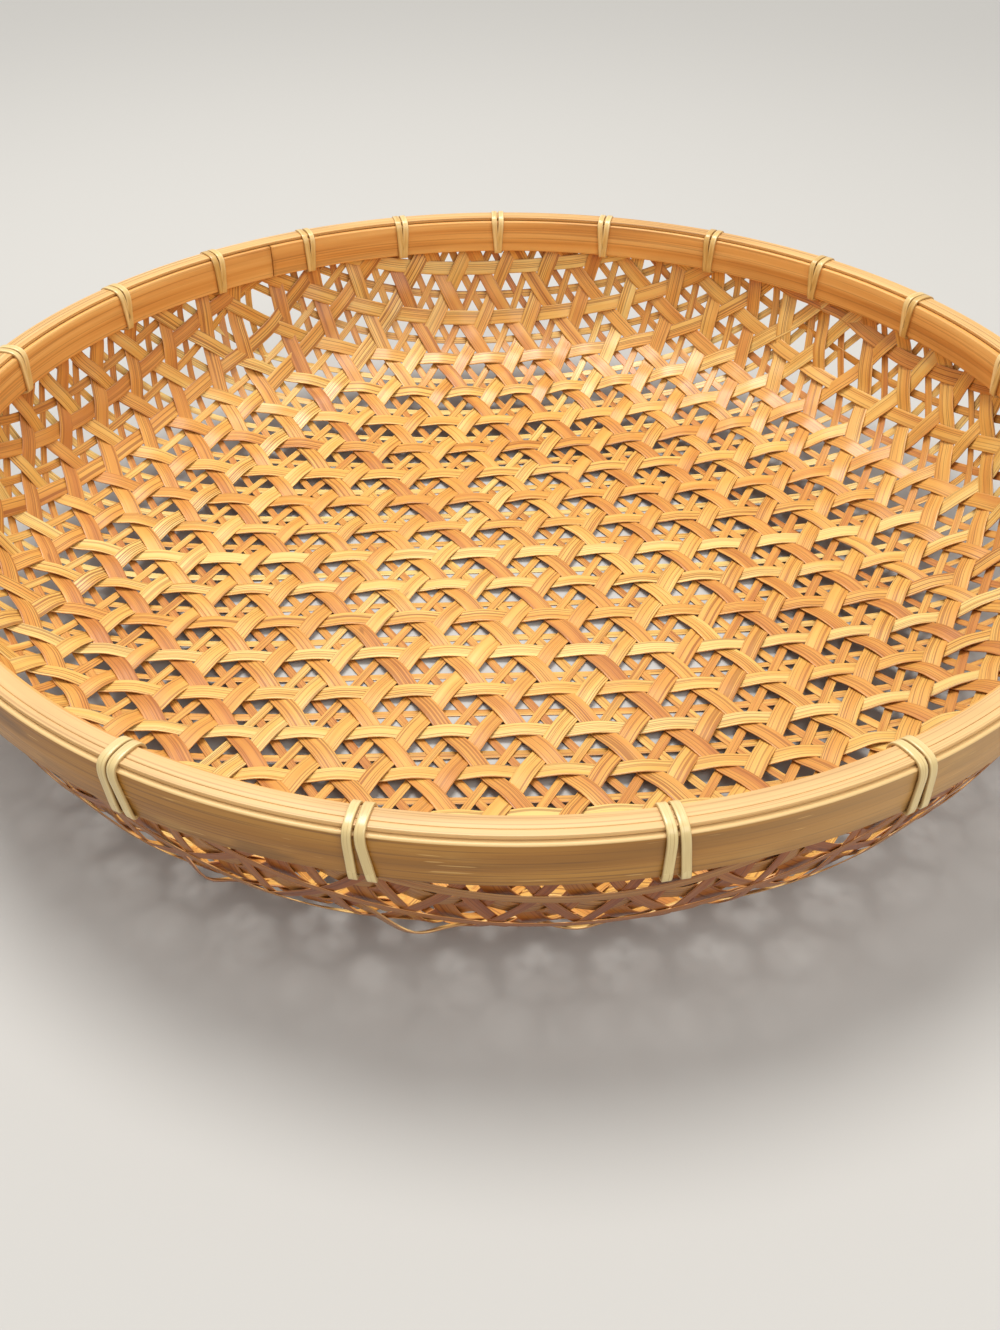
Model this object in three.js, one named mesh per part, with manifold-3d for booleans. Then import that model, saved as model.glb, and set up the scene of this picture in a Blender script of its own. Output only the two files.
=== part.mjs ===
// A round bamboo tray: an open weave of flat splints in three directions, held between two hoops,
// with a cap strip over the hoops and double bindings of rattan round the rim.
// Millimetres, +Z up. The origin is the middle of the flat underside, where the tray rests.
import * as THREE from "three";
import { mergeVertices } from "three/addons/utils/BufferGeometryUtils.js";
import Module from "manifold-3d";

const wasm = await Module();
wasm.setup();

// Rim
const RIM_RADIUS = 225; // outer face of the outer hoop
const HOOP_HEIGHT = 15.5;
const HOOP_THICKNESS = 3.5;
const HOOP_EDGE = 0.7; // bevel along a hoop's edges
const HOOP_CROWN = 0.5; // how far the skin side of a hoop bulges
const WEAVE_SLOT = 4.8; // room for the weave between the hoops
const CAP_WIDTH = 7.5;
const CAP_THICKNESS = 1.6;
const CAP_EDGE = 0.6;
const RIM_SEGMENTS = 60;
const INNER_JOINT_AT = 124; // degrees, where the inner hoop's two ends meet
const INNER_JOINT_GAP = 0.5;

// Bowl
const BOWL_DEPTH = 81; // from the hoops' top edge to the middle of the weave at the base
const WALL_INSET = 5.35; // how far the bowl's own curve stays inside the slot between the hoops
const WALL_TOP = 14.4; // depth below the hoops' top edge at which that curve begins
const WALL_ROUNDNESS = 4.04; // exponents of the curve: 2 would be an ellipse, more is squarer
const BASE_ROUNDNESS = 3.32;
const BASE_PRESS = 0.7; // the curve would bulge this much lower, but the base is pressed flat
const LEAN_DEPTH = 30; // over this depth the wall leans out to pass between the hoops

// Weave
const WALL_SPACINGS = 10.7; // spacings from the weave's centre line to the hoops, along the weave
const EDGE_SPACINGS = 0.3; // the outermost splints keep at least this much inside the hoops' edge
const PASSES = 2; // passes across the tray that one long splint makes, turning back inside the rim
const SPLINT_WIDTH = 7;
const SPLINT_THICKNESS = 0.7;
const LAYER_GAP = 0.7; // between the splints of one direction and the next
const TURN_DEPTH = 5.5; // middle of the turned-back end below the hoops' top edge
const TURN_WIDTH = 4.5;
const TURN_THICKNESS = 0.45;
const WEAVE_ANGLE = 4; // degrees from the X axis to the cross splints
const LEFT_PHASE = 0.11; // where the lines of splints fall, as shares of the spacing
const RIGHT_PHASE = 0.57;
const CROSS_PHASE = LEFT_PHASE + RIGHT_PHASE + 0.5; // no three splints meet in a point
const STATION_STEP = 2; // between the points at which a splint's curve is worked out
const FACE_TOLERANCE = 0.4; // how far a splint's straight steps rise or sink from its curve
const SIDE_TOLERANCE = 1.5; // and how far they stray sideways, where nothing is close

// Bindings
const STRAND_WIDTH = 3.1;
const STRAND_THICKNESS = 0.9;
const STRAND_GAP = 0.4; // between the two turns on top of the rim
const STRAND_SLANT = 2.5; // how far the turns slide along the rim on their way down the outer face
const STRAND_TUCK = 1.6; // how far each end is tucked in under its hoop
const CLEARANCE = 0.3;
const BINDING_ANGLES = [
  15, 31.9, 46.8, 62.3, 77.3, 92, 105.3, 118.5, 131.8, 146.6, 165.4, 184.3, 203.3, 222.2, 241.2,
  259.9, 281.2, 300.3, 319, 337.6, 356.3,
];

// Worked out from the sizes above
const LAYER_PITCH = SPLINT_THICKNESS + LAYER_GAP;
const SPLINT_TOP = SPLINT_WIDTH / 2 + CLEARANCE; // how far below the hoops' top edge the splints end
const HOOP_TOP = BOWL_DEPTH + LAYER_PITCH + SPLINT_THICKNESS / 2; // height above the underside
const OUTER_HOOP_INSIDE = RIM_RADIUS - HOOP_THICKNESS;
const SLOT_RADIUS = OUTER_HOOP_INSIDE - WEAVE_SLOT / 2;
const INNER_HOOP_OUTSIDE = SLOT_RADIUS - WEAVE_SLOT / 2;
const RIM_INSIDE = INNER_HOOP_OUTSIDE - HOOP_THICKNESS;
const WALL_RADIUS = SLOT_RADIUS - WALL_INSET; // widest radius of the bowl's own curve
const RIM_MIDDLE = (RIM_RADIUS + RIM_INSIDE) / 2;
const CAP_BOTTOM = HOOP_TOP + CLEARANCE;
const CAP_TOP = CAP_BOTTOM + CAP_THICKNESS;

const radians = THREE.MathUtils.degToRad;
const UP = new THREE.Vector3(0, 0, 1);

const materials = {
  splint: new THREE.MeshStandardMaterial({ color: 0xf0b45e, roughness: 0.4, metalness: 0 }),
  hoop: new THREE.MeshStandardMaterial({ color: 0xb98245, roughness: 0.4, metalness: 0 }),
  cap: new THREE.MeshStandardMaterial({ color: 0xe8bd84, roughness: 0.5, metalness: 0 }),
  strand: new THREE.MeshStandardMaterial({ color: 0xe2ca86, roughness: 0.4, metalness: 0 }),
};

// Joins and cuts

function toManifold(geometry) {
  const bare = geometry.clone();
  bare.deleteAttribute("normal");
  bare.deleteAttribute("uv");
  const merged = mergeVertices(bare, 1e-4);
  return new wasm.Manifold(
    new wasm.Mesh({
      numProp: 3,
      vertProperties: merged.attributes.position.array,
      triVerts: new Uint32Array(merged.index.array),
    }),
  );
}

function toGeometry(manifold) {
  const mesh = manifold.getMesh();
  const geometry = new THREE.BufferGeometry();
  geometry.setAttribute("position", new THREE.BufferAttribute(mesh.vertProperties, 3));
  geometry.setIndex(new THREE.BufferAttribute(mesh.triVerts, 1));
  geometry.computeVertexNormals();
  return geometry;
}

function joined(geometries) {
  return toGeometry(geometries.map(toManifold).reduce((all, one) => all.add(one)));
}

// A flat strip through stations {at, across, out}: `across` runs over its width, `out` over its thickness.
function stripGeometry(stations, width, thickness) {
  const corners = [
    [-1, -1],
    [1, -1],
    [1, 1],
    [-1, 1],
  ];
  const positions = [];
  for (const { at, across, out } of stations)
    for (const [side, face] of corners) {
      const corner = at
        .clone()
        .addScaledVector(across, (side * width) / 2)
        .addScaledVector(out, (face * thickness) / 2);
      positions.push(corner.x, corner.y, corner.z);
    }
  const index = [];
  const last = 4 * (stations.length - 1);
  for (let ring = 0; ring < last; ring += 4)
    for (let i = 0; i < 4; i++) {
      const j = (i + 1) % 4;
      index.push(ring + i, ring + j, ring + 4 + j, ring + i, ring + 4 + j, ring + 4 + i);
    }
  index.push(0, 2, 1, 0, 3, 2, last, last + 1, last + 2, last, last + 2, last + 3);
  const geometry = new THREE.BufferGeometry();
  geometry.setAttribute("position", new THREE.Float32BufferAttribute(positions, 3));
  geometry.setIndex(index);
  return geometry;
}

// The bowl's curve

// Radius and height of the weave's middle surface; t runs from 0 at the wall's top to PI / 2 at the centre.
function bowlCurve(t) {
  const drop = Math.sin(t) ** (2 / BASE_ROUNDNESS) * (BOWL_DEPTH + BASE_PRESS - WALL_TOP);
  const lean = (1 - THREE.MathUtils.smoothstep(drop, 0, LEAN_DEPTH)) * WALL_INSET;
  return new THREE.Vector2(
    WALL_RADIUS * Math.max(0, Math.cos(t)) ** (2 / WALL_ROUNDNESS) + lean,
    HOOP_TOP - Math.min(BOWL_DEPTH, WALL_TOP + drop),
  );
}

// Points of the profile from the centre to the splints' tops, each with its length along the weave.
function bowlProfile() {
  const steps = 1500;
  const points = [];
  for (let i = steps; i >= 0; i--) points.push(bowlCurve((Math.PI / 2) * (i / steps) ** 2));
  points.push(new THREE.Vector2(SLOT_RADIUS, HOOP_TOP - SPLINT_TOP));
  const lengths = [0];
  for (let i = 1; i < points.length; i++)
    lengths.push(lengths[i - 1] + points[i].distanceTo(points[i - 1]));
  return { points, lengths };
}

const profile = bowlProfile();
const WEAVE_REACH = profile.lengths.at(-1); // from the centre to a splint's end, along the weave
const WALL_REACH = WEAVE_REACH - (HOOP_HEIGHT - SPLINT_TOP); // to the hoops' lower edge
const SPLINT_SPACING = WALL_REACH / WALL_SPACINGS; // about 23.5

function profileAt(length) {
  const { points, lengths } = profile;
  const reach = Math.min(length, WEAVE_REACH);
  let low = 0;
  let high = lengths.length - 1;
  while (high - low > 1) {
    const middle = (low + high) >> 1;
    if (lengths[middle] <= reach) low = middle;
    else high = middle;
  }
  const share = (reach - lengths[low]) / (lengths[high] - lengths[low]);
  return points[low].clone().lerp(points[high], share);
}

// The bowl's surface over the flat weave: a point keeps its direction from the centre, and its
// distance becomes length along the profile.
function onBowl(x, y) {
  const length = Math.hypot(x, y);
  const angle = Math.atan2(y, x);
  const { x: radius, y: height } = profileAt(length);
  const step = STATION_STEP / 4;
  const slope = profileAt(length + step).sub(profileAt(Math.max(0, length - step))).normalize();
  return {
    at: new THREE.Vector3(radius * Math.cos(angle), radius * Math.sin(angle), height),
    out: new THREE.Vector3(slope.y * Math.cos(angle), slope.y * Math.sin(angle), -slope.x),
  };
}

// Splints

// True if one straight step from the first station to the last stays close to all between them.
function straightEnough(stations, first, last) {
  const line = new THREE.Line3(stations[first].at, stations[last].at);
  const nearest = new THREE.Vector3();
  for (let i = first + 1; i < last; i++) {
    const { at, out } = stations[i];
    const astray = line.closestPointToPoint(at, true, nearest).sub(at);
    if (Math.abs(astray.dot(out)) > FACE_TOLERANCE || astray.length() > SIDE_TOLERANCE) return false;
  }
  return true;
}

// Keeps the stations that the curve needs, each as far along as the tolerances allow.
function thinned(stations) {
  const kept = [stations[0]];
  let from = 0;
  while (from < stations.length - 1) {
    let to = from + 1;
    while (to < stations.length - 1 && straightEnough(stations, from, to + 1)) to++;
    kept.push(stations[to]);
    from = to;
  }
  return kept;
}

// Stations along the splint that lies `offset` from the weave's centre line, in its layer of the weave.
function splintStations(direction, offset, layer) {
  const along = new THREE.Vector2(Math.cos(direction), Math.sin(direction));
  const aside = new THREE.Vector2(-along.y, along.x);
  const half = Math.sqrt(WEAVE_REACH ** 2 - offset ** 2);
  const steps = 2 * Math.ceil(half / STATION_STEP);
  const raw = [];
  for (let i = 0; i <= steps; i++) {
    const run = half * ((2 * i) / steps - 1);
    const { at, out } = onBowl(
      along.x * run + aside.x * offset,
      along.y * run + aside.y * offset,
    );
    raw.push({ at: at.addScaledVector(out, layer * LAYER_PITCH), out });
  }
  raw.forEach((station, i) => {
    const before = raw[Math.max(0, i - 1)].at;
    const after = raw[Math.min(steps, i + 1)].at;
    const forward = after.clone().sub(before).normalize();
    station.across = station.out.clone().cross(forward).normalize();
  });
  return thinned(raw);
}

// The hidden stretch inside the rim where a long splint turns back into its next pass.
function turnStations(fromAngle, toAngle, layer) {
  const radius = SLOT_RADIUS + layer * LAYER_PITCH;
  let sweep = THREE.MathUtils.euclideanModulo(toAngle - fromAngle + Math.PI, 2 * Math.PI) - Math.PI;
  const overshoot = (Math.sign(sweep) * SPLINT_WIDTH) / 3 / radius;
  const start = fromAngle - overshoot;
  sweep += 2 * overshoot;
  const steps = Math.max(2, Math.ceil(Math.abs(sweep) / radians(360 / RIM_SEGMENTS)));
  const stations = [];
  for (let i = 0; i <= steps; i++) {
    const angle = start + (sweep * i) / steps;
    const out = new THREE.Vector3(Math.cos(angle), Math.sin(angle), 0);
    stations.push({
      at: out.clone().multiplyScalar(radius).setZ(HOOP_TOP - TURN_DEPTH),
      across: UP.clone().multiplyScalar(Math.sign(sweep)),
      out,
    });
  }
  return stations;
}

function splintOffsets(phase) {
  const offsets = [];
  const most = WALL_SPACINGS - EDGE_SPACINGS;
  for (let line = Math.ceil(-most - phase) + phase; line < most; line++)
    offsets.push(line * SPLINT_SPACING);
  return offsets;
}

// Layers count outwards from the middle of the weave: the cross splints lie innermost.
const WEAVES = [
  { name: "cross_splint", direction: radians(WEAVE_ANGLE), phase: CROSS_PHASE, layer: -1 },
  { name: "left_splint", direction: radians(WEAVE_ANGLE - 60), phase: LEFT_PHASE, layer: 0 },
  { name: "right_splint", direction: radians(WEAVE_ANGLE + 60), phase: RIGHT_PHASE, layer: 1 },
].map((weave) => ({ ...weave, offsets: splintOffsets(weave.phase) }));

function splintMeshes() {
  const meshes = [];
  for (const { name, direction, offsets, layer } of WEAVES)
    for (let first = 0; first < offsets.length; first += PASSES) {
      const runs = offsets
        .slice(first, first + PASSES)
        .map((offset) => splintStations(direction, offset, layer));
      const pieces = runs.map((run) => stripGeometry(run, SPLINT_WIDTH, SPLINT_THICKNESS));
      for (let i = 1; i < runs.length; i++) {
        const end = i % 2 ? -1 : 0; // turns lie at alternate ends
        const angles = [runs[i - 1], runs[i]].map((run) => {
          const { at } = run.at(end);
          return Math.atan2(at.y, at.x);
        });
        pieces.push(stripGeometry(turnStations(...angles, layer), TURN_WIDTH, TURN_THICKNESS));
      }
      const mesh = new THREE.Mesh(joined(pieces), materials.splint);
      mesh.name = name + "_" + String(first / PASSES + 1).padStart(2, "0");
      meshes.push(mesh);
    }
  return meshes;
}

// Rim

function ring(name, outline, material) {
  const points = outline.map(([radius, height]) => new THREE.Vector2(radius, height));
  points.push(points[0].clone());
  const geometry = new THREE.LatheGeometry(points, RIM_SEGMENTS).rotateX(Math.PI / 2);
  const mesh = new THREE.Mesh(toGeometry(toManifold(geometry)), material);
  mesh.name = name;
  return mesh;
}

// A hoop's outline, from its plain face to its bulging skin face, which looks away from the weave.
function hoopOutline(plain, skin) {
  const low = HOOP_TOP - HOOP_HEIGHT;
  const away = Math.sign(skin - plain);
  const outline = [
    [plain, low],
    [skin - away * (HOOP_EDGE + HOOP_CROWN), low],
    [skin - away * HOOP_CROWN, low + HOOP_EDGE],
    [skin, (low + HOOP_TOP) / 2],
    [skin - away * HOOP_CROWN, HOOP_TOP - HOOP_EDGE],
    [skin - away * (HOOP_EDGE + HOOP_CROWN), HOOP_TOP],
    [plain, HOOP_TOP],
  ];
  return away > 0 ? outline : outline.reverse();
}

function outerHoop() {
  return ring("outer_hoop", hoopOutline(OUTER_HOOP_INSIDE, RIM_RADIUS), materials.hoop);
}

// The inner hoop is a strip bent into a circle, and its ends meet with a fine gap.
function innerHoop() {
  const whole = ring("inner_hoop", hoopOutline(INNER_HOOP_OUTSIDE, RIM_INSIDE), materials.hoop);
  const angle = radians(INNER_JOINT_AT);
  const cut = new THREE.BoxGeometry(3 * HOOP_THICKNESS, INNER_JOINT_GAP, 2 * HOOP_HEIGHT)
    .translate((RIM_INSIDE + INNER_HOOP_OUTSIDE) / 2, 0, HOOP_TOP - HOOP_HEIGHT / 2)
    .rotateZ(angle);
  whole.geometry = toGeometry(toManifold(whole.geometry).subtract(toManifold(cut)));
  return whole;
}

function rimCap() {
  const inside = RIM_MIDDLE - CAP_WIDTH / 2;
  const outside = RIM_MIDDLE + CAP_WIDTH / 2;
  return ring(
    "rim_cap",
    [
      [inside, CAP_BOTTOM],
      [outside, CAP_BOTTOM],
      [outside, CAP_TOP - CAP_EDGE],
      [outside - CAP_EDGE, CAP_TOP],
      [inside + CAP_EDGE, CAP_TOP],
      [inside, CAP_TOP - CAP_EDGE],
    ],
    materials.cap,
  );
}

// Bindings

// The strand's way over the rim as [radius, height, share of the way from the top], from its end
// under the inner hoop to its end under the outer one.
function strandRoute() {
  const off = CLEARANCE + STRAND_THICKNESS / 2;
  const low = HOOP_TOP - HOOP_HEIGHT - off;
  const inside = RIM_INSIDE - off;
  const outside = RIM_RADIUS + off;
  const shoulder = HOOP_TOP - HOOP_EDGE;
  const top = CAP_TOP + off;
  const round = 1.2 * off;
  return [
    [inside + round + STRAND_TUCK, low, -1],
    [inside + round, low, -1],
    [inside, low + round, -1],
    [inside, shoulder, 0],
    [RIM_MIDDLE - CAP_WIDTH / 2, top, 0],
    [RIM_MIDDLE + CAP_WIDTH / 2, top, 0],
    [outside, shoulder, 0],
    [outside, low + round, 1],
    [outside - round, low, 1],
    [outside - round - STRAND_TUCK, low, 1],
  ];
}

// One turn of the strand: beside the other on top, gathered with it at the foot of the inner face.
function strandTurn(side) {
  const route = strandRoute();
  const spread = (side * (STRAND_WIDTH + STRAND_GAP)) / 2;
  const places = route.map(([radius, height, way]) => {
    const slide = way < 0 ? spread * (1 + way) : spread + way * STRAND_SLANT;
    return new THREE.Vector3(radius, slide, height);
  });
  const flat = places.map((place) => new THREE.Vector3(place.x, 0, place.z));
  const stations = places.map((at, i) => {
    const before = flat[i].clone().sub(flat[Math.max(0, i - 1)]).normalize();
    const after = flat[Math.min(flat.length - 1, i + 1)].clone().sub(flat[i]).normalize();
    const forward = before.clone().add(after).normalize();
    const reach = forward.dot(after.lengthSq() ? after : before); // mitre at a bend
    const out = new THREE.Vector3(-forward.z, 0, forward.x).divideScalar(reach);
    return { at, across: new THREE.Vector3(0, 1, 0), out };
  });
  return stripGeometry(stations, STRAND_WIDTH, STRAND_THICKNESS);
}

function bindingMeshes() {
  const geometry = joined([strandTurn(-1), strandTurn(1)]);
  return BINDING_ANGLES.map((angle, i) => {
    const mesh = new THREE.Mesh(geometry, materials.strand);
    mesh.name = "binding_" + String(i + 1).padStart(2, "0");
    mesh.rotation.z = radians(angle);
    return mesh;
  });
}

const tray = new THREE.Group();
tray.name = "bamboo_tray";
tray.add(outerHoop(), innerHoop(), rimCap(), ...splintMeshes(), ...bindingMeshes());

export default tray;
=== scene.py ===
"""A round bamboo tray: an open weave of flat splints held between two hoops, under a cap strip,
with double bindings of rattan round the rim. Shapes are worked out in millimetres, +Z up, in the
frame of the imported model, and become metres when their meshes are made. Angles round the rim are
in degrees from the tray's right, and grow towards its far side."""

import math

import bpy
import numpy as np
from mathutils import Matrix, Vector


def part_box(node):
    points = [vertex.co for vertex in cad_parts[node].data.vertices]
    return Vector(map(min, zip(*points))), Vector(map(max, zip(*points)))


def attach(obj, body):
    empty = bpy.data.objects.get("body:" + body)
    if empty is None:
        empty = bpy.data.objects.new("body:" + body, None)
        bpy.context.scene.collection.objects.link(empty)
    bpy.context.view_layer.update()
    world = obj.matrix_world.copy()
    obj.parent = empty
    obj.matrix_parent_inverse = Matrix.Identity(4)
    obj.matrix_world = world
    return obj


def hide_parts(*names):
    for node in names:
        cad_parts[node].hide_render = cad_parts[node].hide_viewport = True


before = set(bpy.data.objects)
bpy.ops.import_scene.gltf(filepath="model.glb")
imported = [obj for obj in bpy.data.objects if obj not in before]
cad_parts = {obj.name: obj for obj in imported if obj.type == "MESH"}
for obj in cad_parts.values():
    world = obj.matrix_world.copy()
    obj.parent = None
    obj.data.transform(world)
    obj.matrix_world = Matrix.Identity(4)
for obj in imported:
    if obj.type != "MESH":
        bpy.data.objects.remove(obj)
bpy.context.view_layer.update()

MM = 0.001
rng = np.random.default_rng(7)

# Rim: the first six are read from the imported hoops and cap
HOOP_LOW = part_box("outer_hoop")[0][2] / MM
HOOP_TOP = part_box("outer_hoop")[1][2] / MM
RIM_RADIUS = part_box("outer_hoop")[1][0] / MM
CAP_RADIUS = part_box("rim_cap")[1][0] / MM
CAP_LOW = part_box("rim_cap")[0][2] / MM
CAP_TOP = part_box("rim_cap")[1][2] / MM
HOOP_THICKNESS = 3.5
HOOP_CROWN = 0.5  # how far the middle of a hoop's face stands out from its edges
HOOP_ROUNDING = 0.8
WEAVE_SLOT = 4.8
CAP_WIDTH = 7.5
CAP_SPLIT = 2.4  # from the cap's outer edge to the seam between its two strips
CAP_SEAM = 0.15  # half the seam's width at the top
CAP_SEAM_DEPTH = 0.5
CAP_ROUNDING = 0.25
RIM_WOBBLE = 0.15
SLOT_RADIUS = RIM_RADIUS - HOOP_THICKNESS - WEAVE_SLOT / 2
INNER_HOOP_OUTSIDE = SLOT_RADIUS - WEAVE_SLOT / 2
RIM_INSIDE = INNER_HOOP_OUTSIDE - HOOP_THICKNESS
INNER_JOINT_AT = 124
INNER_JOINT_GAP = 0.5
INNER_WOBBLE_TURN = 2.0  # sets the inner hoop's wobble off from the outer one's
RING_STEPS = 480

# Bowl
BOWL_DEPTH = 81
WALL_RADIUS = 213.75
WALL_TOP = 14.4  # how far under the rim the wall's curve starts
WALL_ROUNDNESS = 4.04
BASE_ROUNDNESS = 3.32
BASE_PRESS = 0.7  # how much of the curve's depth is pressed flat
LEAN_DEPTH = 30  # the part of the wall's height that leans out to the slot
BOWL_STEPS = 1500

# Weave
WALL_SPACINGS = 10.7  # spacings from the weave's centre line to the hoops, along the weave
EDGE_SPACINGS = 0.3  # the outermost splints keep at least this much inside the hoops' edge
SPLINT_WIDTH = 7.2
SPLINT_THICKNESS = 0.65
SPLINT_BEVEL = 0.06  # bevels are shares of half a strip's width
SPLINT_SWAY = 0.35
THIN_WIDTH = 3.6
THIN_THICKNESS = 0.38
THIN_BEVEL = 0.09
THIN_SWAY = 0.6
THIN_SHIFT = 0.7  # how far a thin splint may lie from midway between its neighbours
WEAVE_SWING = 0.68  # how far a splint rises over one crossing and dips under the next
LOOSE_AT = 178  # length along the bowl's curve where its bend makes the splints stand off
LOOSE_WIDTH = 24
LOOSENESS = 1.2  # the most that the swing grows there, as a share of WEAVE_SWING
THIN_STANDOFF = 0.4
WEAVE_LIFT = 0.7  # the woven splints' middle lies this far inside the layers' middle
THIN_DEPTHS = {"right": 0.82, "left": 1.18, "cross": 1.54}  # and the thin ones this far outside
SPLINT_TOP = 3.8  # how far under the hoops' top the splints end
DRIFT = 1.1  # scale of the hand's slow drift from the true lines
STEP = 2.2  # between stations along a splint
SLIPS = ((-137, 180), (174, 162))  # places on the flat weave where splints have slipped aside
SLIP = 6.5
SLIP_WIDTH = 30
SLIP_ROLL = 0.6  # how far a splint may roll about its length there, in radians
HAND_ROLL = 0.05  # and its usual roll anywhere
# Where a cross splint stands out: place on the flat weave, how far, and how wide
FOLDS = ((-28, -208, 6.0, 10), (25, -209, 3.5, 10), (-94, -190, 5.0, 7), (-136, -147, 5.0, 7))
WEAVE_ANGLE = 4  # degrees from the tray's right to the cross splints
LEFT_PHASE = 0.11  # shares of a spacing by which the lines lie off the centre
RIGHT_PHASE = 0.57
CROSS_PHASE = LEFT_PHASE + RIGHT_PHASE + 0.5
MOST_NODE_PASSES = 2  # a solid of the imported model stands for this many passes
TONES = {"cross": 0.25, "left": 0.7, "right": 0.5}  # from pale, 0, to deep, 1
THIN_TONE = 0.08  # how much deeper the thin splints are
TONE_SPREAD = 0.18

# Bindings
STRAND_WIDTH = 3.1
STRAND_THICKNESS = 1.0
STRAND_BEVEL = 0.16
STRAND_TONE = 0.5
STRAND_GAP = 0.4
STRAND_FAN = 1.6  # how much further apart the two turns lie at the foot of the outer face
LEAN = 4.5  # the most that they lean along the rim, on their way down the outer face
LEAN_TO = 287  # the angle on the near side that they lean towards
LEAN_SPREAD = 0.6
CLEARANCE = 0.15
# The angles of the bindings, read one by one from the photograph
FAR_BINDINGS = (15, 31.9, 46.8, 62.3, 77.3, 92, 105.3, 118.5, 131.8, 146.6, 165.4)
NEAR_BINDINGS = (184.3, 203.3, 222.2, 241.2, 259.9, 281.2, 300.3, 319, 337.6, 356.3)


# Meshes


def make_piece(name, grids, material, replaces=()):
    """One object from closed tubes: each grid is (points[n, m, 3] in mm, uv[n, m, 2], looped), a
    section of m points carried along n stations, with flat ends unless it is looped into a ring."""
    points, faces, uvs, starts = [], [], [], 0
    for grid, uv, looped in grids:
        n, m, _ = grid.shape
        number = starts + np.arange(n * m).reshape(n, m)
        ahead = np.roll(number, -1, axis=0) if looped else number[1:]
        here = number if looped else number[:-1]
        quads = np.stack(
            [here, np.roll(here, -1, axis=1), np.roll(ahead, -1, axis=1), ahead], axis=-1
        ).reshape(-1, 4)
        faces.append(quads)
        if not looped:
            faces.append(number[0, ::-1][None])
            faces.append(number[-1][None])
        points.append(grid.reshape(-1, 3) * MM)
        uvs.append(uv.reshape(-1, 2))
        starts += n * m
    points = np.concatenate(points)
    uvs = np.concatenate(uvs)
    loops = np.concatenate([f.ravel() for f in faces])
    counts = np.concatenate([np.full(len(f), f.shape[1]) for f in faces])
    mesh = bpy.data.meshes.new(name)
    mesh.vertices.add(len(points))
    mesh.vertices.foreach_set("co", points.ravel())
    mesh.loops.add(len(loops))
    mesh.loops.foreach_set("vertex_index", loops)
    mesh.polygons.add(len(counts))
    mesh.polygons.foreach_set("loop_start", np.cumsum(counts) - counts)
    mesh.polygons.foreach_set("use_smooth", counts == 4)
    mesh.uv_layers.new(name="along").uv.foreach_set("vector", uvs[loops].ravel())
    mesh.update(calc_edges=True)
    mesh.validate()
    mesh.materials.append(material)
    piece = bpy.data.objects.new(name, mesh)
    bpy.context.scene.collection.objects.link(piece)
    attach(piece, "root")
    if replaces:
        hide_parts(*replaces)
    return piece


def tag(piece, name, values):
    """Stores a number for each vertex, which the piece's material reads."""
    piece.data.attributes.new(name, "FLOAT", "POINT").data.foreach_set("value", values)


def flat_section(edge):
    """A flat strip's section from -1 to 1 each way, as (across, out) points in turn: bevelled for
    the given share of half its width, with points near the bevels that keep its faces flat."""
    flat = 1 - np.array([edge, 3 * edge])
    across = np.concatenate([[1, 1], flat, -flat[::-1], [-1, -1], -flat, flat[::-1]])
    out = np.array([-0.5, 0.5, 1, 1, 1, 1, 0.5, -0.5, -1, -1, -1, -1])
    return across, out


def flat_grid(at, across, face, width, thickness, edge, length):
    """A flat section at each station at[n, 3], with its own directions across and out of its
    face, and its uv: the given length along the strip, and the share across it."""
    side, up = flat_section(edge)
    width = np.broadcast_to(width, at.shape[:1])[:, None, None]
    points = (
        at[:, None]
        + across[:, None] * side[None, :, None] * width / 2
        + face[:, None] * up[None, :, None] * thickness / 2
    )
    uv = np.empty(points.shape[:2] + (2,))
    uv[..., 0] = length[:, None]
    uv[..., 1] = (side[None] + 1) / 2
    return points, uv


def unit(v):
    return v / np.linalg.norm(v, axis=-1, keepdims=True)


def strip(at, out, width, thickness, edge, roll, start):
    """A flat strip along the stations at[n, 3]: each section is a bevelled rectangle, width across
    and thickness along out, square to the way ahead and rolled about it by the given angles. Its
    uv is length along it and share across."""
    ahead = unit(np.gradient(at, axis=0))
    level = unit(np.cross(out, ahead))
    upright = np.cross(ahead, level)
    cos, sin = np.cos(roll)[:, None], np.sin(roll)[:, None]
    across = level * cos + upright * sin
    face = upright * cos - level * sin
    length = np.concatenate([[0], np.cumsum(np.linalg.norm(np.diff(at, axis=0), axis=1))])
    grid = flat_grid(at, across, face, width, thickness, edge, start + length * MM)
    return *grid, False


# The bowl's curve


def bowl_table():
    """The weave's middle surface as length along it, radius and height, from the centre to the
    splints' ends: a superellipse that leans out at the top, to pass between the hoops, and is
    pressed flat at the base."""
    t = np.pi / 2 * np.linspace(1, 0, BOWL_STEPS) ** 2
    drop = np.sin(t) ** (2 / BASE_ROUNDNESS) * (BOWL_DEPTH + BASE_PRESS - WALL_TOP)
    share = np.clip(drop / LEAN_DEPTH, 0, 1)
    lean = (1 - share**2 * (3 - 2 * share)) * (SLOT_RADIUS - WALL_RADIUS)
    radius = WALL_RADIUS * np.cos(t).clip(0) ** (2 / WALL_ROUNDNESS) + lean
    height = HOOP_TOP - np.minimum(BOWL_DEPTH, WALL_TOP + drop)
    radius = np.append(radius, SLOT_RADIUS)
    height = np.append(height, HOOP_TOP - SPLINT_TOP)
    length = np.concatenate([[0], np.cumsum(np.hypot(np.diff(radius), np.diff(height)))])
    return length, radius, height


BOWL = bowl_table()
WEAVE_REACH = BOWL[0][-1]
SPLINT_SPACING = (WEAVE_REACH - (HOOP_TOP - SPLINT_TOP - HOOP_LOW)) / WALL_SPACINGS


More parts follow.
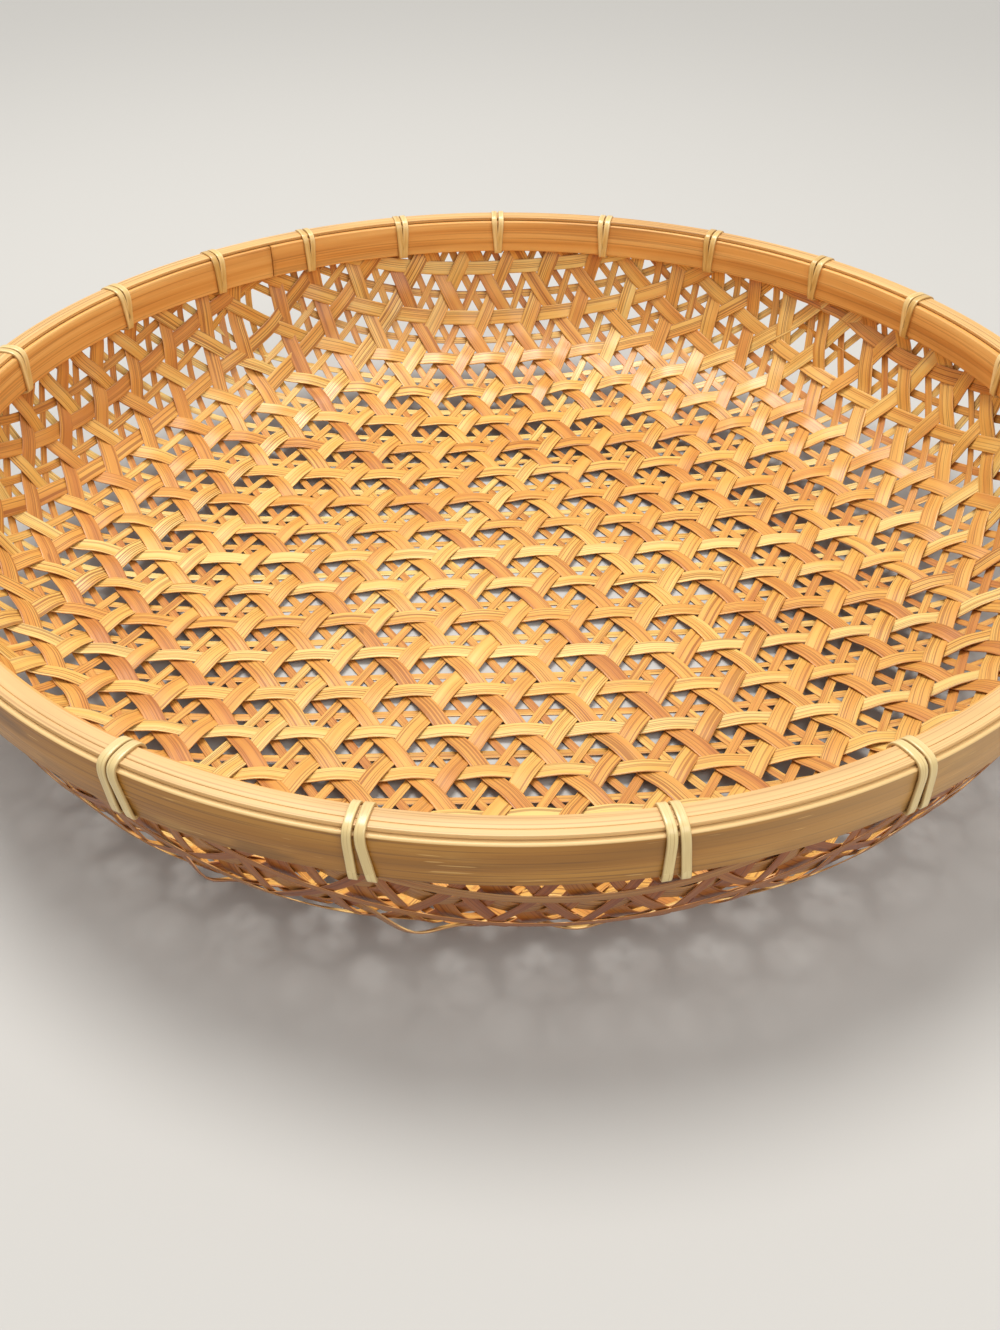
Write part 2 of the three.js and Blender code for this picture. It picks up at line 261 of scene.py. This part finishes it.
def on_bowl(x, y):
    """The flat weave laid over the bowl: a point keeps its direction from the centre, and its
    distance becomes length along the bowl's curve. Gives the point and the outward normal."""
    length, radius, height = BOWL
    reach = np.hypot(x, y)
    angle = np.arctan2(y, x)
    r = np.interp(reach, length, radius)
    z = np.interp(reach, length, height)
    span = 2.0  # the slope is taken over this length
    far = np.clip(reach + span / 2, span, WEAVE_REACH)
    near = far - span
    slope = unit(
        np.stack(
            [
                np.interp(far, length, radius) - np.interp(near, length, radius),
                np.interp(far, length, height) - np.interp(near, length, height),
            ],
            axis=-1,
        )
    )
    cos, sin = np.cos(angle), np.sin(angle)
    at = np.stack([r * cos, r * sin, z], axis=-1)
    out = np.stack([slope[:, 1] * cos, slope[:, 1] * sin, -slope[:, 0]], axis=-1)
    return at, out


def hand_drift(x, y):
    """The slow drift of handwork: crossing waves of 180 to 500 mm, about a millimetre each, which
    die out at the splints' ends."""
    reach = np.hypot(x, y) / WEAVE_REACH
    held = DRIFT * (1 + 3 * reach**6) * (1 - reach**12)
    dx = np.sin(x / 41 + y / 67 + 0.4) + 0.6 * np.sin(y / 29 - x / 83 + 2.1)
    dy = np.sin(y / 47 - x / 59 + 1.3) + 0.6 * np.sin(x / 31 + y / 71 + 4.0)
    return x + held * dx, y + held * dy


# Splints


class Weave:
    """One direction of splints: lines at (k + phase) spacings from the centre."""

    def __init__(self, name, degrees, phase):
        turn = math.radians(degrees)
        self.name = name
        self.phase = phase
        self.along = np.array([math.cos(turn), math.sin(turn)])
        self.aside = np.array([-self.along[1], self.along[0]])

    def offsets(self, shift=0.0):
        most = WALL_SPACINGS - EDGE_SPACINGS
        first = math.ceil(-most - self.phase - shift)
        return np.arange(first + self.phase + shift, most) * SPLINT_SPACING

    def crossings(self, x, y):
        """Counts spacings across this direction: a whole number on each of its splints."""
        return (x * self.aside[0] + y * self.aside[1]) / SPLINT_SPACING - self.phase


CROSS = Weave("cross", WEAVE_ANGLE, CROSS_PHASE)
LEFT = Weave("left", WEAVE_ANGLE - 60, LEFT_PHASE)
RIGHT = Weave("right", WEAVE_ANGLE + 60, RIGHT_PHASE)
OVER = {"cross": LEFT, "left": RIGHT, "right": CROSS}  # each direction passes over one other


def hill(x, y, a, b, width):
    """A bell curve of height 1 round the point (a, b)."""
    return np.exp(-((x - a) ** 2 + (y - b) ** 2) / width**2)


def splint_line(weave, offset, sway):
    """Stations of a splint on the flat weave, before drift: a straight line with a slow sway, and
    a slip aside, by its own random amount, at each place where splints have slipped."""
    half = math.sqrt(WEAVE_REACH**2 - offset**2)
    run = np.linspace(-half, half, 2 * math.ceil(half / STEP) + 1)
    aside = offset + sway * np.sin(run / rng.uniform(35, 60) + rng.uniform(0, 6.3))
    x = weave.along[0] * run + weave.aside[0] * aside
    y = weave.along[1] * run + weave.aside[1] * aside
    slip = sum(rng.uniform(-SLIP, SLIP) * hill(x, y, a, b, SLIP_WIDTH) for a, b in SLIPS)
    return x + weave.aside[0] * slip, y + weave.aside[1] * slip


def hand_roll(x, y):
    """How far a splint rolls about its own length: a little anywhere, more where it has slipped."""
    slow = rng.normal(0, HAND_ROLL) * np.sin(x / 33 + y / 51 + rng.uniform(0, 6.3))
    turned = (rng.uniform(-SLIP_ROLL, SLIP_ROLL) * hill(x, y, a, b, SLIP_WIDTH) for a, b in SLIPS)
    return slow + sum(turned)


def at_bend(x, y):
    """1 where the bowl bends into its wall and the splints stand off each other, fading to 0."""
    return np.exp(-(((np.hypot(x, y) - LOOSE_AT) / LOOSE_WIDTH) ** 2))


def wide_splint(weave, offset):
    """A wide splint: its height follows a cosine that peaks where it passes over another, and a
    cross splint stands out at the folds."""
    x, y = splint_line(weave, offset, SPLINT_SWAY)
    loose = at_bend(x, y) * LOOSENESS * rng.uniform(0, 1) ** 2
    peaks = np.cos(2 * np.pi * OVER[weave.name].crossings(x, y))
    swing = WEAVE_SWING * (rng.uniform(0.85, 1.2) + loose) * peaks
    fold = sum(height * hill(x, y, a, b, width) for a, b, height, width in FOLDS)
    at, out = on_bowl(*hand_drift(x, y))
    at = at - out * (WEAVE_LIFT + swing - fold * (weave is CROSS))[:, None]
    width = SPLINT_WIDTH * rng.uniform(0.93, 1.05)
    taper = width * (1 + 0.03 * np.sin(np.arange(len(x)) / 23 + rng.uniform(0, 6.3)))
    roll = hand_roll(x, y)
    return strip(at, out, taper, SPLINT_THICKNESS, SPLINT_BEVEL, roll, rng.uniform(0, 40))


def thin_splint(weave, offset):
    """A thin splint, under all the wide ones, about midway between two of them."""
    x, y = splint_line(weave, offset + rng.uniform(-THIN_SHIFT, THIN_SHIFT), THIN_SWAY)
    at, out = on_bowl(*hand_drift(x, y))
    at = at + out * (THIN_DEPTHS[weave.name] + THIN_STANDOFF * at_bend(x, y))[:, None]
    width = THIN_WIDTH * rng.uniform(0.9, 1.12)
    roll = hand_roll(x, y)
    return strip(at, out, width, THIN_THICKNESS, THIN_BEVEL, roll, rng.uniform(0, 40))


def add_splints(material):
    """The wide splints, two passes to a piece as in the solids, and the thin ones under them."""
    for weave in (CROSS, LEFT, RIGHT):
        wide = weave.offsets()
        for first in range(0, len(wide), MOST_NODE_PASSES):
            passes = [wide_splint(weave, o) for o in wide[first : first + MOST_NODE_PASSES]]
            node = f"{weave.name}_splint_{first // MOST_NODE_PASSES + 1:02d}"
            piece = make_piece("woven_" + node, passes, material, replaces=[node])
            tag_passes(piece, passes, TONES[weave.name])
        for i, offset in enumerate(weave.offsets(0.5)):
            thin = [thin_splint(weave, offset)]
            piece = make_piece(f"thin_{weave.name}_splint_{i + 1:02d}", thin, material)
            tag_passes(piece, thin, TONES[weave.name] + THIN_TONE)


def tag_passes(piece, passes, tone):
    """Each pass has its own tone, from pale to deep, and its own strength of grain, and each point
    knows whether it is on the side that looks out of the tray."""
    counts = [grid.shape[0] * grid.shape[1] for grid, _, _ in passes]
    tag(piece, "tone", np.repeat(rng.normal(tone, TONE_SPREAD, len(counts)).clip(0, 0.9), counts))
    tag(piece, "grain", np.repeat(rng.uniform(0.45, 0.85, len(counts)), counts))
    outside = (flat_section(SPLINT_BEVEL)[1] > 0).astype(float)
    stations = sum(grid.shape[0] for grid, _, _ in passes)
    tag(piece, "outside", np.tile(outside, stations))


# Rim


def hoop_ring(outline, gap_at=None, gap=0.0, phase=0.0):
    """A closed outline of (radius, height) points carried round the axis, with a slow wobble of
    the hand in radius and height, whose phase can be set off. With a gap it is an open strip
    whose ends almost meet."""
    outline = np.array(outline, float)
    if gap_at is None:
        angle = np.linspace(0, 2 * np.pi, RING_STEPS, endpoint=False)
    else:
        half_gap = gap / 2 / outline[:, 0].mean()
        start = math.radians(gap_at)
        angle = np.linspace(start + half_gap, start + 2 * np.pi - half_gap, RING_STEPS)
    waves = np.sin(3 * angle + 1.1 + phase) + 0.6 * np.sin(5 * angle + 0.4 + phase)
    lifts = np.sin(2 * angle + 2.3) + 0.5 * np.sin(7 * angle + 0.9)
    radius = outline[None, :, 0] + RIM_WOBBLE * waves[:, None]
    height = outline[None, :, 1] + RIM_WOBBLE / 2 * lifts[:, None]
    points = np.stack(
        [radius * np.cos(angle)[:, None], radius * np.sin(angle)[:, None], height], axis=-1
    )
    girth = np.linalg.norm(np.diff(outline, axis=0, append=outline[:1]), axis=1)
    share = np.concatenate([[0], np.cumsum(girth)[:-1]])
    uv = np.empty(points.shape[:2] + (2,))
    uv[..., 0] = (angle * RIM_RADIUS * MM)[:, None]
    uv[..., 1] = share[None] * MM
    return points[:, ::-1], uv[:, ::-1], gap_at is None


def rounded(corners, radius, steps=7):
    """A closed outline with each corner turned into an arc, which starts the given length before
    the corner, or less where an edge is short."""
    corners = np.array(corners, float)
    before = np.roll(corners, 1, axis=0) - corners
    after = np.roll(corners, -1, axis=0) - corners
    edges = np.linalg.norm(np.stack([before, after]), axis=-1)
    reach = np.minimum(radius, 0.45 * edges.min(axis=0))[:, None]
    share = np.linspace(0, 1, steps)[None, :, None]
    start = corners + unit(before) * reach
    end = corners + unit(after) * reach
    arcs = (
        start[:, None] * (1 - share) ** 2
        + corners[:, None] * 2 * share * (1 - share)
        + end[:, None] * share**2
    )
    return arcs.reshape(-1, 2)


def add_rim(skin, inner, cap):
    """The two hoops, each with a crowned face, and the cap of two strips with a seam between."""
    middle = (HOOP_LOW + HOOP_TOP) / 2
    outer_corners = [
        (RIM_RADIUS - HOOP_THICKNESS, HOOP_LOW),
        (RIM_RADIUS - HOOP_CROWN, HOOP_LOW),
        (RIM_RADIUS, middle),
        (RIM_RADIUS - HOOP_CROWN, HOOP_TOP),
        (RIM_RADIUS - HOOP_THICKNESS, HOOP_TOP),
    ]
    ring = hoop_ring(rounded(outer_corners, HOOP_ROUNDING))
    make_piece("outer_hoop_skin", [ring], skin, ["outer_hoop"])
    inner_corners = [
        (RIM_INSIDE + HOOP_CROWN, HOOP_LOW),
        (RIM_INSIDE, middle),
        (RIM_INSIDE + HOOP_CROWN, HOOP_TOP),
        (INNER_HOOP_OUTSIDE, HOOP_TOP),
        (INNER_HOOP_OUTSIDE, HOOP_LOW),
    ]
    outline = rounded(inner_corners, HOOP_ROUNDING)
    ring = hoop_ring(outline, INNER_JOINT_AT, INNER_JOINT_GAP, INNER_WOBBLE_TURN)
    make_piece("inner_hoop_strip", [ring], inner, ["inner_hoop"])
    cap_inside = CAP_RADIUS - CAP_WIDTH
    split = CAP_RADIUS - CAP_SPLIT
    outer_edge, inner_edge = CAP_TOP - 0.2, CAP_TOP - 0.3
    outer_lip, inner_lip = CAP_TOP - 0.1, CAP_TOP - 0.05
    cap_corners = [
        (cap_inside, CAP_LOW),
        (CAP_RADIUS, CAP_LOW),
        (CAP_RADIUS, outer_edge),
        (split + CAP_SEAM, outer_lip),
        (split, CAP_TOP - CAP_SEAM_DEPTH),
        (split - CAP_SEAM, inner_lip),
        ((cap_inside + split) / 2, CAP_TOP),
        (cap_inside, inner_edge),
    ]
    ring = hoop_ring(rounded(cap_corners, CAP_ROUNDING))
    make_piece("rim_cap_strip", [ring], cap, ["rim_cap"])


# Bindings


def cut_corners(path, times):
    """Rounds a closed polyline: each step replaces a corner by points a quarter of the way off."""
    for _ in range(times):
        ahead = np.roll(path, -1, axis=0)
        path = np.stack([0.75 * path + 0.25 * ahead, 0.25 * path + 0.75 * ahead], axis=1)
        path = path.reshape(-1, path.shape[-1])
    return path


def strand_loop(side, slant, gather):
    """One turn of the strand as a closed loop of (radius, slide, height): up the outer face with
    its slant, over the cap, down the inner face to the point where the turns gather, and back
    under the hoops. Each corner has two points, a little before it and a little past it."""
    foot_rise, foot_run, sag = 0.8, 0.9, 0.4
    shoulder, lip = 0.6, 0.2
    off = CLEARANCE + STRAND_THICKNESS / 2
    low = HOOP_LOW - off
    inside = RIM_INSIDE - off
    outside = RIM_RADIUS + off
    cap_inside = CAP_RADIUS - CAP_WIDTH
    spread = side * (STRAND_WIDTH + STRAND_GAP) / 2
    top = CAP_TOP + off
    foot = spread * gather
    return np.array(
        [
            (outside, spread + slant, low + foot_rise),
            (outside, spread + slant / 2, (low + HOOP_TOP) / 2),
            (outside, spread, HOOP_TOP - shoulder),
            (CAP_RADIUS + lip, spread, top - lip),
            (cap_inside - lip, spread, top - lip),
            (inside, spread, HOOP_TOP - shoulder),
            (inside, (spread + foot) / 2, (low + HOOP_TOP) / 2),
            (inside, foot, low + foot_rise),
            (inside + foot_run, foot, low),
            (SLOT_RADIUS, (foot + spread + slant) / 2, low - sag),
            (outside - foot_run, spread + slant, low),
        ]
    )


def add_bindings(material):
    """The double bindings, two turns each, which lean on their way down the outer face."""
    for i, degrees in enumerate(FAR_BINDINGS + NEAR_BINDINGS):
        turn = math.radians(degrees)
        lean = LEAN * math.sin(math.radians(LEAN_TO - degrees))
        lean += rng.uniform(-LEAN_SPREAD, LEAN_SPREAD)
        turns = []
        for side in (-1, 1):
            gather = rng.uniform(0.1, 0.5)
            slant = lean + side * STRAND_FAN / 2 * rng.uniform(0.6, 1.3)
            r, slide, z = cut_corners(strand_loop(side, slant, gather), times=3).T
            at = np.stack(
                [
                    r * math.cos(turn) - slide * math.sin(turn),
                    r * math.sin(turn) + slide * math.cos(turn),
                    z,
                ],
                axis=-1,
            )
            turns.append(strand_ring(at, turn, start=side))
        name = f"binding_{i + 1:02d}"
        piece = make_piece("rattan_" + name, turns, material, [name])
        tag_passes(piece, turns, STRAND_TONE)


def strand_ring(at, turn, start):
    """A closed turn of strand along the stations at[n, 3], flat against the rim at the angle
    turn. Its uv's length begins at start, so that no two turns look the same."""
    ahead = unit(np.roll(at, -1, axis=0) - np.roll(at, 1, axis=0))
    rim_way = np.array([-math.sin(turn), math.cos(turn), 0.0])
    face = unit(np.cross(ahead, rim_way))
    across = np.cross(face, ahead)
    width = STRAND_WIDTH * rng.uniform(0.84, 0.98)
    length = np.cumsum(np.linalg.norm(np.roll(at, -1, axis=0) - at, axis=1)) * MM
    grid = flat_grid(at, across, face, width, STRAND_THICKNESS, STRAND_BEVEL, length + start)
    return *grid, True


# Materials


def colour(code):
    """An sRGB hex colour as linear values with full alpha."""
    srgb = [int(code[i : i + 2], 16) / 255 for i in (0, 2, 4)]
    linear = [c / 12.92 if c <= 0.04045 else ((c + 0.055) / 1.055) ** 2.4 for c in srgb]
    return (*linear, 1)


def add(tree, kind, inputs=None, **settings):
    """Adds a node: inputs maps a socket's name or number to a value or to another node's output."""
    node = tree.nodes.new(kind)
    for key, value in settings.items():
        setattr(node, key, value)
    for key, value in (inputs or {}).items():
        if isinstance(value, bpy.types.NodeSocket):
            tree.links.new(value, node.inputs[key])
        else:
            node.inputs[key].default_value = value
    return node


def maths(tree, operation, *values):
    return add(tree, "ShaderNodeMath", dict(enumerate(values)), operation=operation).outputs[0]


def ramp(tree, value, stops):
    """A colour ramp with its stops as (place, hex colour)."""
    node = add(tree, "ShaderNodeValToRGB", {0: value})
    elements = node.color_ramp.elements
    while len(elements) < len(stops):
        elements.new(1)
    for element, (place, code) in zip(elements, stops):
        element.position = place
        element.color = colour(code)
    return node.outputs[0]


def lay(tree, under, code, mask, strength, mode="MIX"):
    """Lays a hex colour over another colour where the mask is 1, as strongly as given."""
    factor = maths(tree, "MULTIPLY", mask, strength)
    sockets = {0: factor, 6: under, 7: colour(code)}
    return add(tree, "ShaderNodeMix", sockets, data_type="RGBA", blend_type=mode).outputs[2]


def fade(tree, value, low, high):
    """0 up to low, 1 from high on, smooth between."""
    sockets = {0: value, 1: low, 2: high, 3: 0.0, 4: 1.0}
    return add(tree, "ShaderNodeMapRange", sockets, interpolation_type="SMOOTHSTEP").outputs[0]


def streaks(tree, u, v, seed, along, across, detail=3.0):
    """Noise drawn out along the fibre: along and across are how often it changes for each unit
    of u and of v."""
    sockets = {
        0: maths(tree, "MULTIPLY", u, along),
        1: maths(tree, "MULTIPLY", v, across),
        2: seed,
    }
    place = add(tree, "ShaderNodeCombineXYZ", sockets).outputs[0]
    noise = add(tree, "ShaderNodeTexNoise", {"Vector": place, "Scale": 1.0, "Detail": detail})
    return noise.outputs[0]


def attribute(tree, name):
    return add(tree, "ShaderNodeAttribute", attribute_name=name).outputs["Fac"]


def object_place(tree):
    place = add(tree, "ShaderNodeTexCoord").outputs["Object"]
    return add(tree, "ShaderNodeSeparateXYZ", {0: place}).outputs


def from_middle(tree, v):
    """0 along a strip's middle line and 0.5 at its edges."""
    return maths(tree, "ABSOLUTE", maths(tree, "SUBTRACT", v, 0.5))


def painted_near_light(tree):
    """1 on the tray's near side, where the rim is painted paler as painted light, and 0 past its
    middle.
    """
    return fade(tree, object_place(tree)[1], 0.0, -0.2)


def new_material(name):
    """A material with its node tree, and the mesh's own u, in metres along a strip, and v: the
    share across a splint or strand, and metres round a hoop's section."""
    material = bpy.data.materials.new(name)
    material.use_nodes = True
    tree = material.node_tree
    tree.nodes.clear()
    along = add(tree, "ShaderNodeUVMap", uv_map="along").outputs[0]
    uv = add(tree, "ShaderNodeSeparateXYZ", {0: along})
    return material, tree, uv.outputs[0], uv.outputs[1]


def finish_material(tree, base, roughness, height, bump_mm, coat):
    """A varnished plant fibre: diffuse body, fine relief along the fibre and a thin clear coat."""
    relief = {"Strength": 1.0, "Distance": bump_mm * MM, "Height": height}
    sockets = {
        "Base Color": base,
        "Roughness": roughness,
        "IOR": 1.5,
        "Coat Weight": coat,
        "Coat Roughness": 0.25,
        "Normal": add(tree, "ShaderNodeBump", relief).outputs[0],
    }
    shader = add(tree, "ShaderNodeBsdfPrincipled", sockets)
    add(tree, "ShaderNodeOutputMaterial", {0: shader.outputs[0]})


def split_bamboo():
    """Split and planed bamboo splint, varnished: honey to orange, each splint its own tone, with
    fine dark fibre lines, a few brown flecks and paler cut edges. Its outer side is browner,
    partly its skin side's own colour and partly painted shade."""
    material, tree, u, v = new_material("split bamboo splint, varnished")
    tone = attribute(tree, "tone")
    seed = maths(tree, "MULTIPLY", tone, 37.0)
    fine_seed, broad_seed, fleck_seed = (maths(tree, "ADD", seed, n) for n in (4.0, 9.0, 2.0))
    patches = streaks(tree, u, v, seed, along=16.0, across=1.6)
    shift = maths(tree, "MULTIPLY", maths(tree, "SUBTRACT", patches, 0.5), 1.3)
    stops = [(0.0, "f2cf7e"), (0.3, "ecb95f"), (0.55, "e4a64e"), (0.8, "d89343"), (1.0, "c67e3a")]
    base = ramp(tree, maths(tree, "ADD", tone, shift), stops)
    broad = streaks(tree, u, v, broad_seed, along=5.0, across=6.0, detail=2.0)
    fine = streaks(tree, u, v, fine_seed, along=8.0, across=15.0, detail=0.0)
    line = maths(tree, "MAXIMUM", fade(tree, broad, 0.65, 0.69), fade(tree, fine, 0.55, 0.64))
    inked = maths(tree, "MULTIPLY", line, attribute(tree, "grain"))
    base = lay(tree, base, "8f4c1c", inked, 0.9)
    base = lay(tree, base, "efc08c", fade(tree, from_middle(tree, v), 0.47, 0.5), 0.4)
    fleck = streaks(tree, u, v, fleck_seed, along=55.0, across=2.0, detail=1.0)
    base = lay(tree, base, "8a5223", fade(tree, fleck, 0.76, 0.82), 0.6)
    # partly painted shade: the side that looks out of the tray is darkened brown, partly its skin
    # side's own colour
    base = lay(tree, base, "9c5f30", attribute(tree, "outside"), 0.78, "MULTIPLY")
    finish_material(tree, base, 0.42, broad, 0.12, coat=0.22)
    return material


def hoop_skin():
    """The skin side of a bamboo culm, varnished: smooth olive brown with soft long streaks, smudges
    and scratches, paler towards the tray's right side, with a pale cut edge on top."""
    material, tree, u, v = new_material("bamboo skin, varnished")
    broad = streaks(tree, u, v, 1.0, along=7.0, across=160.0)
    base = ramp(tree, broad, [(0.25, "80551c"), (0.5, "a56e25"), (0.75, "c28a37")])
    worn = streaks(tree, u, v, 8.0, along=26.0, across=90.0)
    base = lay(tree, base, "cb9c50", fade(tree, worn, 0.55, 0.75), 0.45)
    smudge = streaks(tree, u, v, 3.0, along=30.0, across=110.0, detail=5.0)
    base = lay(tree, base, "6b4819", fade(tree, smudge, 0.54, 0.68), 0.45)
    scratch = streaks(tree, u, v, 12.0, along=55.0, across=800.0, detail=1.0)
    base = lay(tree, base, "dcae66", fade(tree, scratch, 0.68, 0.72), 0.6)
    fine = streaks(tree, u, v, 5.0, along=14.0, across=1500.0)
    base = lay(tree, base, "68431c", fade(tree, fine, 0.5, 0.66), 0.5)
    x, _, z = object_place(tree)
    base = lay(tree, base, "cfa468", fade(tree, x, 0.02, 0.13), 0.5)
    cut_edge = fade(tree, z, (HOOP_TOP - 0.7) * MM, (HOOP_TOP - 0.4) * MM)
    base = lay(tree, base, "e6bf80", cut_edge, 1.0)
    finish_material(tree, base, 0.45, fine, 0.08, coat=0.15)
    return material


def planed_bamboo(name, stops, line, ink, seed, pale=None):
    """Planed bamboo: long fine dark grain lines, as strong as ink, and soft blotches on a warm
    body. If pale is given, the near side gets painted light: it is laid paler and its lines
    fainter."""
    material, tree, u, v = new_material(name)
    base = ramp(tree, streaks(tree, u, v, seed, along=5.0, across=220.0), stops)
    # painted light: the near side is laid paler and its grain lines fainter
    if pale:
        near = painted_near_light(tree)
        base = lay(tree, base, pale, near, 0.8)
        ink = maths(tree, "SUBTRACT", ink, maths(tree, "MULTIPLY", near, 0.25))
    blotch = streaks(tree, u, v, seed + 7.0, along=9.0, across=70.0)
    base = lay(tree, base, line, fade(tree, blotch, 0.48, 0.66), 0.22)
    fine = streaks(tree, u, v, seed + 3.0, along=5.0, across=1100.0, detail=2.0)
    base = lay(tree, base, line, fade(tree, fine, 0.54, 0.62), ink)
    finish_material(tree, base, 0.48, fine, 0.1, coat=0.12)
    return material


def inner_hoop_bamboo():
    """Planed bamboo strip, varnished: the face of the inner hoop, a warm orange brown."""
    stops = [(0.3, "d69244"), (0.5, "e8aa5a"), (0.7, "f2be70")]
    return planed_bamboo("planed bamboo, inner hoop", stops, "91531f", ink=0.35, seed=11.0)


def rim_cap_bamboo():
    """Planed bamboo strip, varnished: the cap, paler than the hoop, and palest on the near side as
    painted light.
    """
    stops = [(0.3, "d09a52"), (0.5, "dfae68"), (0.7, "ecc281")]
    return planed_bamboo(
        "planed bamboo, rim cap", stops, "8f5a2a", ink=0.6, seed=23.0, pale="e4ba7e"
    )


def rattan():
    """Flat rattan strand with its glossy rind outside: straw yellow, each turn its own tone, with
    fine lines along it, painted paler on the near side as painted light, and with its edges
    darkened as painted shade."""
    material, tree, u, v = new_material("rattan strand, rind side")
    tone = maths(tree, "SUBTRACT", attribute(tree, "tone"), 0.5)
    broad = streaks(tree, u, v, 2.0, along=60.0, across=1.2)
    shade = maths(tree, "SUBTRACT", broad, maths(tree, "MULTIPLY", tone, 0.5))
    base = ramp(tree, shade, [(0.3, "cfa459"), (0.5, "e4c078"), (0.7, "f2d596")])
    # painted light: the bindings on the near side of the rim are laid paler
    base = lay(tree, base, "e6d096", painted_near_light(tree), 0.65)
    fine = streaks(tree, u, v, 7.0, along=30.0, across=9.0)
    line = maths(tree, "MULTIPLY", fade(tree, fine, 0.55, 0.68), attribute(tree, "grain"))
    base = lay(tree, base, "a07238", line, 0.62)
    # painted shade: both edges of each strand are laid darker, where the turns meet and curve away
    base = lay(tree, base, "9a6c34", fade(tree, from_middle(tree, v), 0.4, 0.5), 0.5)
    finish_material(tree, base, 0.33, fine, 0.06, coat=0.4)
    return material


# Studio, in metres but for the camera's place

CAMERA_BACK = 450.8  # from the tray's axis
CAMERA_ABOVE_RIM = 240.3
CAMERA_PITCH = 38.78
CAMERA_YAW = -0.503
CAMERA_ROLL = 0.114
LENS_MM = 35.05
FILM_MM = 36  # along the picture's long, upright side
FLOOR_HALF = 30.0
FLOOR_COLOUR = "c3c0ba"
BACKDROP = "d9d6d0"
BACKDROP_FROM = 0.6  # the floor fades into the backdrop between these distances from the tray
BACKDROP_FULL = 2.2
WORLD_LIGHT = 0.58


def add_camera():
    """The camera of the photograph, on the near side, looking down into the tray."""
    pitch, yaw, roll = (math.radians(a) for a in (CAMERA_PITCH, CAMERA_YAW, CAMERA_ROLL))
    level_way = Vector((math.sin(yaw), math.cos(yaw), 0))
    ahead = level_way * math.cos(pitch) - Vector((0, 0, math.sin(pitch)))
    level = Vector((math.cos(yaw), -math.sin(yaw), 0))
    upright = level.cross(ahead)
    right = level * math.cos(roll) + upright * math.sin(roll)
    up = upright * math.cos(roll) - level * math.sin(roll)
    data = bpy.data.cameras.new("camera")
    data.lens = LENS_MM
    data.sensor_fit = "VERTICAL"
    data.sensor_height = FILM_MM
    data.clip_start = 0.01
    camera = bpy.data.objects.new("camera", data)
    turn = Matrix((right, up, -ahead)).transposed().to_4x4()
    place = Vector((0, -CAMERA_BACK, HOOP_TOP + CAMERA_ABOVE_RIM)) * MM
    camera.matrix_world = Matrix.Translation(place) @ turn
    bpy.context.scene.collection.objects.link(camera)
    bpy.context.scene.camera = camera


def add_lamp(name, place, size, watts):
    """A round lamp that faces the tray's base."""
    data = bpy.data.lights.new(name, "AREA")
    data.shape = "DISK"
    data.size = size
    data.energy = watts
    lamp = bpy.data.objects.new(name, data)
    lamp.location = place
    lamp.rotation_euler = (-Vector(place)).to_track_quat("-Z", "Y").to_euler()
    bpy.context.scene.collection.objects.link(lamp)


def seen(tree):
    """1 for rays that see the surroundings, from the camera or in a gloss, and 0 for light."""
    rays = add(tree, "ShaderNodeLightPath").outputs
    gloss = maths(tree, "MAXIMUM", rays["Is Glossy Ray"], rays["Is Transmission Ray"])
    return maths(tree, "MAXIMUM", rays["Is Camera Ray"], gloss)


def add_floor():
    """A wide pale floor, which fades into the plain backdrop away from the tray."""
    material = bpy.data.materials.new("pale floor")
    material.use_nodes = True
    tree = material.node_tree
    shader = tree.nodes["Principled BSDF"]
    shader.inputs["Base Color"].default_value = colour(FLOOR_COLOUR)
    shader.inputs["Roughness"].default_value = 0.8
    place = add(tree, "ShaderNodeTexCoord").outputs["Object"]
    far = add(tree, "ShaderNodeVectorMath", {0: place}, operation="LENGTH").outputs["Value"]
    backdrop = add(tree, "ShaderNodeEmission", {"Color": colour(BACKDROP)}).outputs[0]
    plain = maths(tree, "MULTIPLY", fade(tree, far, BACKDROP_FROM, BACKDROP_FULL), seen(tree))
    mixed = add(tree, "ShaderNodeMixShader", {0: plain, 1: shader.outputs[0], 2: backdrop})
    tree.links.new(mixed.outputs[0], tree.nodes["Material Output"].inputs[0])
    mesh = bpy.data.meshes.new("floor")
    corners = [(FLOOR_HALF * x, FLOOR_HALF * y, 0) for x, y in ((-1, -1), (1, -1), (1, 1), (-1, 1))]
    mesh.from_pydata(corners, [], [(0, 1, 2, 3)])
    mesh.materials.append(material)
    floor = bpy.data.objects.new("floor", mesh)
    bpy.context.scene.collection.objects.link(floor)


def add_world():
    """Even white light from all round, which is seen as the plain backdrop."""
    world = bpy.data.worlds.new("studio")
    world.use_nodes = True
    tree = world.node_tree
    light = tree.nodes["Background"]
    light.inputs["Color"].default_value = (1, 1, 1, 1)
    light.inputs["Strength"].default_value = WORLD_LIGHT
    backdrop = add(tree, "ShaderNodeBackground", {0: colour(BACKDROP), 1: 1.0}).outputs[0]
    mixed = add(tree, "ShaderNodeMixShader", {0: seen(tree), 1: light.outputs[0], 2: backdrop})
    tree.links.new(mixed.outputs[0], tree.nodes["World Output"].inputs[0])
    bpy.context.scene.world = world


add_camera()
add_floor()
add_lamp("key", place=(-0.2, 0.35, 1.5), size=0.8, watts=19)
add_lamp("front", place=(0.7, -1.0, 1.2), size=1.2, watts=8)
add_world()
bpy.context.scene.view_settings.view_transform = "Standard"
add_splints(split_bamboo())
add_rim(hoop_skin(), inner_hoop_bamboo(), rim_cap_bamboo())
add_bindings(rattan())
